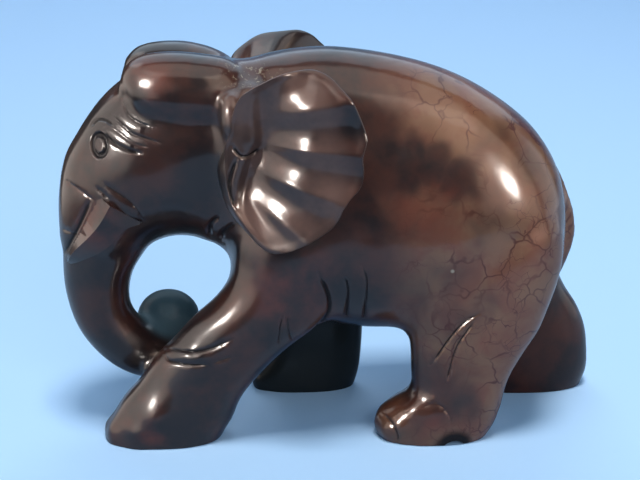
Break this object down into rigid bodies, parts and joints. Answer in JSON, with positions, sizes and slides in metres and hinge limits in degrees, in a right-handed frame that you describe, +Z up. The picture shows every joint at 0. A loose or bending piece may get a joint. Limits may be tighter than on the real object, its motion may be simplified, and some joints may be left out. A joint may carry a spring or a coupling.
{
  "type": "jade elephant carving",
  "caption": "Walking elephant carved from dark polished red-brown stone, trunk curled round an open loop, fluted ears and short tusks",
  "frame": {"origin": "on the ground under the middle of the figure's bounding box", "axes": "+X towards the rump, along the longest extent; the head faces -X and the figure's left side faces -Y; +Z up"},
  "size_m": [0.1308, 0.0524, 0.0908],
  "materials": {
    "polished_stone": "high polish on dark red-brown stone, mottled, with orange-brown cells and dark red veins"
  },
  "bodies": {
    "root": {"elephant": "polished_stone"}
  },
  "joints": []
}
